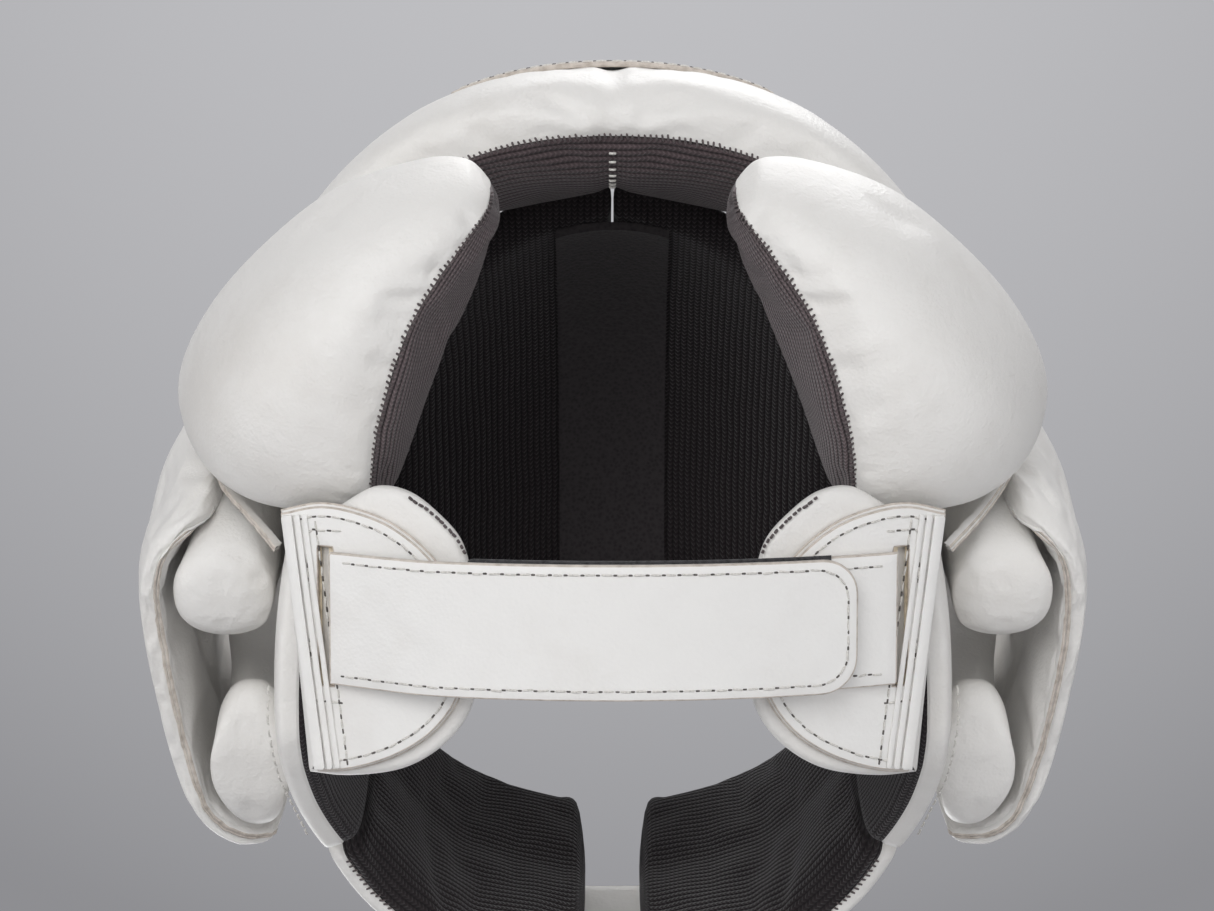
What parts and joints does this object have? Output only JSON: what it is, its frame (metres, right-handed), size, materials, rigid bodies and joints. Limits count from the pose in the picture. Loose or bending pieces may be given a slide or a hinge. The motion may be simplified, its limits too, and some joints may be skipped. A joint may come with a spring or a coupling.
{
  "type": "boxing headgear",
  "caption": "Padded leather head guard with cheek pads, ear guards, a laced crown, hinged rear wings and a hook-and-loop chin strap.",
  "frame": {"origin": "centre of the head cavity, level with the wearer's ear canals, where the headgear is held by the head", "axes": "+Z is the wearer's up, -Y is the way the wearer faces, +X is the wearer's left"},
  "size_m": [0.272, 0.2694, 0.2526],
  "materials": {
    "leather_white": "satin",
    "knit_lining": "ribbed knit",
    "padding": "foam",
    "tape_black": "hook and loop",
    "lace_white": "woven cord",
    "eyelet_metal": "bright"
  },
  "bodies": {
    "shell": {"cheek_cover_left": "leather_white", "cheek_cover_right": "leather_white", "cheek_foam_left": "padding", "cheek_foam_right": "padding", "cheek_lining_left": "knit_lining", "cheek_lining_right": "knit_lining", "chin_flap_left": "leather_white", "chin_flap_right": "leather_white", "chin_patch_left": "leather_white", "chin_patch_right": "leather_white", "crown_cover_left": "leather_white", "crown_cover_right": "leather_white", "crown_eyelets": "eyelet_metal", "crown_foam_left": "padding", "crown_foam_right": "padding", "crown_lace": "lace_white", "crown_lining_left": "knit_lining", "crown_lining_right": "knit_lining", "crown_tongue": "knit_lining", "ear_guard_cover_left": "leather_white", "ear_guard_cover_right": "leather_white", "ear_guard_foam_left": "padding", "ear_guard_foam_right": "padding", "ear_guard_lining_left": "leather_white", "ear_guard_lining_right": "leather_white", "ear_roll_left": "leather_white", "ear_roll_right": "leather_white", "forehead_badge": "leather_white", "forehead_cover": "leather_white", "forehead_foam": "padding", "forehead_lining": "knit_lining", "jaw_plate_left": "leather_white", "jaw_plate_right": "leather_white", "side_panel_cover_left": "leather_white", "side_panel_cover_right": "leather_white", "side_panel_foam_left": "padding", "side_panel_foam_right": "padding", "side_panel_lining_left": "knit_lining", "side_panel_lining_right": "knit_lining", "temple_cover_left": "leather_white", "temple_cover_right": "leather_white", "temple_foam_left": "padding", "temple_foam_right": "padding", "temple_lining_left": "knit_lining", "temple_lining_right": "knit_lining"},
    "chin_over": {"chin_strap_over": "leather_white", "chin_hook_tape": "tape_black"},
    "chin_under": {"chin_strap_under": "leather_white", "chin_loop_tape": "tape_black"},
    "wing_left": {"rear_wing_cover_left": "leather_white", "rear_wing_foam_left": "padding", "rear_wing_lining_left": "knit_lining", "rear_loop_tape": "tape_black"},
    "wing_right": {"rear_wing_cover_right": "leather_white", "rear_wing_foam_right": "padding", "rear_wing_lining_right": "knit_lining", "rear_strap_anchor": "leather_white"},
    "rear_closure": {"rear_strap": "leather_white", "rear_hook_tape": "tape_black"}
  },
  "joints": [
    {"name": "chin_strap_open", "type": "hinge", "parent": "shell", "child": "chin_over", "pos_m": [-0.07759, -0.03989, -0.0869], "axis": [0, 0.9272, -0.3746], "range_deg": [0, 120]},
    {"name": "chin_under_open", "type": "hinge", "parent": "shell", "child": "chin_under", "pos_m": [0.07759, -0.03989, -0.0869], "axis": [0, -0.9272, 0.3746], "range_deg": [0, 36.5]},
    {"name": "rear_strap_peel", "type": "hinge", "parent": "wing_right", "child": "rear_closure", "pos_m": [-0.0447, 0.11599, -0.006], "axis": [0, 0, 1], "range_deg": [0, 130]},
    {"name": "rear_wing_left_flex", "type": "hinge", "parent": "shell", "child": "wing_left", "pos_m": [0.08948, 0.06539, -0.006], "axis": [0, 0, -1], "range_deg": [0, 18.5]},
    {"name": "rear_wing_right_flex", "type": "hinge", "parent": "shell", "child": "wing_right", "pos_m": [-0.08948, 0.06539, -0.006], "axis": [0, 0, 1], "range_deg": [0, 18.5]}
  ],
  "couplings": [
    {"joint": "chin_under_open", "follows": "chin_strap_open", "ratio": 0.3},
    {"joint": "rear_wing_left_flex", "follows": "rear_strap_peel", "ratio": 0.14},
    {"joint": "rear_wing_right_flex", "follows": "rear_strap_peel", "ratio": 0.14}
  ]
}
